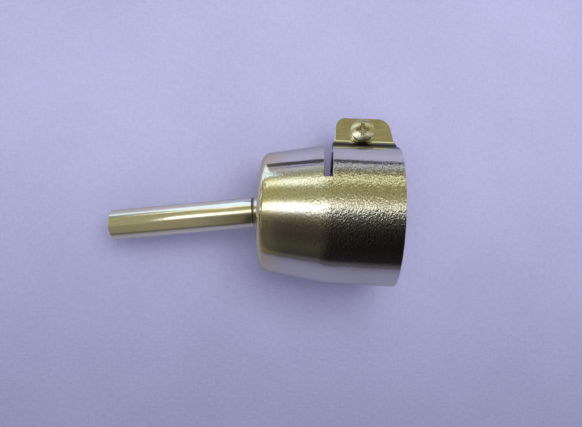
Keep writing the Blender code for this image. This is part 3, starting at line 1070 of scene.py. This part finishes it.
def build_card(name, corners, colour, near_x=0.0, far_x=0.0, near_colour=None):
    """A plain card as a strip of corner pairs, which is seen only in the metal."""
    faces = [(i, i + 2, i + 3, i + 1) for i in range(0, len(corners) - 2, 2)]
    card = new_object(name, new_mesh(name, corners, faces))
    card.data.materials.append(card_light(name, colour, near_x, far_x, near_colour))
    card.visible_camera = False
    card.visible_diffuse = False
    card.visible_shadow = False


def upright(line, foot=FLOOR_Z):
    """The corner pairs of a card that stands upright along a line of (x, y, height)."""
    return [(x, y, z) for x, y, top in line for z in (foot, top)]


def level(height, near, far, near_span, far_span):
    """The corner pairs of a level card, from y = near to y = far, with its span of x at each end."""
    return [(x, y, height) for y, span in ((near, near_span), (far, far_span)) for x in span]


def build_cards():
    """The dark edge of the table beyond the ears, a low pale window by the tube, a dim shelf over its tip
    and a darker ledge beside it, which is lighter towards the tip."""
    edge = ((-0.018, 0.045, 0.0095), (-0.007, 0.065, 0.0115), (0.035, 0.141, 0.0205), (0.2, 0.44, 0.020))
    build_card("dark_table_edge", upright(edge), (0.065, 0.066, 0.088))
    window = ((-0.058, 0.034, 0.0155), (-0.036, 0.035, 0.0165))
    window += ((-0.029, 0.035, 0.0265), (-0.011, 0.036, 0.0285))
    build_card("low_window", upright(window, 0.0045), (0.95, 1.18, 1.70))
    shelf = level(SHELF_Z, -0.030, 0.060, (-0.080, -0.036), (-0.080, -0.036))
    build_card("shelf", shelf, (0.29, 0.27, 0.15))
    shelf_end = level(SHELF_Z, 0.060, 0.160, (-0.130, -0.070), (-0.170, -0.078))
    build_card("shelf_end", shelf_end, (0.12, 0.17, 0.20))
    ledge = [(x, y, LEDGE_Z) for x in (-0.0045, -0.0450) for y in (-0.045, -0.0052 + LEDGE_SLANT * x)]
    build_card("ledge", ledge, (0.185, 0.168, 0.100), -0.0045, -0.0190, (0.100, 0.078, 0.036))


# ---- the room's light, the lamp and the camera

# The room's light by its angle from straight up, in degrees towards +Y. Away from the ears it is dark, and
# darker on the mouth's side than on the tube's.
TUBE_SIDE_BANDS = (
    (-180.0, (0.24, 0.24, 0.32)),
    (-92.0, (0.098, 0.098, 0.128)),
    (-84.0, (0.098, 0.098, 0.110)),
    (-80.0, (0.044, 0.044, 0.041)),
    (-62.0, (0.056, 0.052, 0.037)),
    (-42.0, (0.044, 0.036, 0.029)),
    (-21.0, (0.070, 0.056, 0.047)),
    (-10.0, (0.145, 0.130, 0.088)),
    (-3.0, (0.34, 0.33, 0.27)),
    (2.0, (0.92, 0.93, 0.93)),
    (7.0, (1.95, 1.97, 2.0)),
    (16.0, (1.95, 1.97, 1.95)),
    (20.0, (1.15, 1.17, 1.02)),
    (25.0, (0.50, 0.49, 0.30)),
    (34.0, (0.385, 0.36, 0.195)),
    (49.0, (0.385, 0.37, 0.200)),
    (53.5, (0.74, 0.76, 0.54)),
    (57.5, (1.20, 1.24, 1.08)),
    (63.5, (1.20, 1.24, 1.08)),
    (67.5, (0.80, 0.83, 0.62)),
    (72.0, (0.385, 0.385, 0.245)),
    (79.0, (0.38, 0.38, 0.33)),
    (85.0, (0.46, 0.47, 0.53)),
    (91.0, (0.44, 0.45, 0.52)),
    (96.0, (0.24, 0.24, 0.30)),
    (180.0, (0.24, 0.24, 0.32)),
)
MOUTH_SIDE_BANDS = (
    (-180.0, (0.24, 0.24, 0.32)),
    (-92.0, (0.110, 0.105, 0.140)),
    (-86.0, (0.090, 0.085, 0.118)),
    (-79.0, (0.014, 0.013, 0.015)),
    (-50.0, (0.007, 0.007, 0.007)),
    (-22.0, (0.010, 0.009, 0.009)),
    (-10.0, (0.035, 0.032, 0.030)),
    (2.0, (0.07, 0.07, 0.066)),
    (9.0, (0.16, 0.16, 0.15)),
    (12.0, (1.35, 1.35, 1.24)),
    (15.0, (1.20, 1.20, 1.04)),
    (19.5, (0.46, 0.44, 0.28)),
    (32.0, (0.32, 0.29, 0.145)),
    (46.0, (0.27, 0.24, 0.105)),
    (55.0, (0.42, 0.41, 0.22)),
    (58.0, (1.15, 1.14, 0.75)),
    (62.0, (1.15, 1.14, 0.75)),
    (65.0, (0.28, 0.26, 0.125)),
    (76.0, (0.155, 0.145, 0.075)),
    (82.0, (0.30, 0.31, 0.32)),
    (85.5, (0.66, 0.70, 0.84)),
    (89.0, (0.60, 0.63, 0.74)),
    (96.0, (0.24, 0.24, 0.30)),
    (180.0, (0.24, 0.24, 0.32)),
)
# How far along +X the light turns from the tube's side's to the mouth's side's.
SIDE_BLEND = (-0.42, -0.06)
AMBIENT_COLOUR = (0.60, 0.60, 0.66)
AMBIENT_STRENGTH = 0.92
BACKDROP_COLOUR = (0.62, 0.61, 0.74)


def band_ramp(nodes, share, stops):
    """The colour of the bands, which run once round as share goes from 0 to 1."""
    ramp = nodes.add("ShaderNodeValToRGB", {0: share})
    elements = ramp.color_ramp.elements
    while len(elements) < len(stops):
        elements.new(0.5)
    for element, (degrees, _) in zip(elements, stops):
        element.position = degrees / 360 + 0.5
    for element, (_, colour) in zip(elements, stops):
        element.color = (*colour, 1.0)
    return ramp.outputs[0]


def build_world():
    """A room as soft bands of light along the nozzle, which the metal mirrors, an even light for dull
    surfaces and a plain pale backdrop for the camera."""
    world = bpy.data.worlds.new("room")
    bpy.context.scene.world = world
    nodes = Nodes(world)
    nodes.tree.nodes.clear()

    def background(colour, strength=1.0):
        return nodes.add("ShaderNodeBackground", {"Color": colour, "Strength": strength}).outputs[0]

    def choose(share, off, on):
        return nodes.add("ShaderNodeMixShader", {0: share, 1: off, 2: on}).outputs[0]

    x, y, z = nodes.split(nodes.add("ShaderNodeTexCoord").outputs["Generated"])
    share = nodes.total(nodes.product(nodes.math("ARCTAN2", y, z), 1 / math.tau), 0.5)
    tube_side = band_ramp(nodes, share, TUBE_SIDE_BANDS)
    mouth_side = band_ramp(nodes, share, MOUTH_SIDE_BANDS)
    room = background(nodes.mix(nodes.ramp(x, *SIDE_BLEND), tube_side, mouth_side))
    path = nodes.add("ShaderNodeLightPath").outputs
    light = choose(path["Is Diffuse Ray"], room, background(AMBIENT_COLOUR, AMBIENT_STRENGTH))
    light = choose(path["Is Camera Ray"], light, background(BACKDROP_COLOUR))
    nodes.add("ShaderNodeOutputWorld", {"Surface": light})


def build_key():
    """One broad soft lamp up beyond the ears, which the metal doesn't mirror."""
    light = bpy.data.lights.new("soft_key", "AREA")
    light.shape = "RECTANGLE"
    light.size, light.size_y = KEY_SIZE
    light.energy = KEY_ENERGY
    light.color = KEY_COLOUR
    key = new_object("soft_key", light)
    key.location = KEY_POINT
    key.rotation_euler = (-KEY_POINT).to_track_quat("-Z", "Y").to_euler()
    key.visible_glossy = False
    key.visible_camera = False


def build_camera():
    lens = bpy.data.cameras.new("camera")
    lens.sensor_width = SENSOR_MM
    lens.lens = LENS_MM
    lens.clip_start = 0.001
    lens.dof.use_dof = False
    camera = new_object("camera", lens)
    back = -CAMERA_VIEW.normalized()
    right = CAMERA_UP.cross(back).normalized()
    turn = Matrix((right, back.cross(right), back)).transposed().to_4x4()
    camera.matrix_world = Matrix.Translation(CAMERA_POINT) @ turn
    bpy.context.scene.camera = camera


def main():
    sheet = plated_sheet()
    braze = dull_plate("braze_plate", (0.74, 0.70, 0.58), (0.58, 0.53, 0.40), 0.16, 0.28, 0.000004)
    fastener = dull_plate("fastener_plate", (0.78, 0.76, 0.62), (0.64, 0.62, 0.44), 0.20, 0.32, 0.000010)
    build_bell(sheet)
    build_flap("flap_upper", 1, "collar_flap_upper", sheet)
    build_flap("flap_lower", -1, "collar_flap_lower", sheet)
    build_tube(plated_tube())
    build_braze(braze)
    build_screw(fastener)
    build_nut(fastener)
    build_floor()
    build_cards()
    build_world()
    build_key()
    build_camera()
    bpy.context.scene.view_settings.view_transform = "Standard"


main()
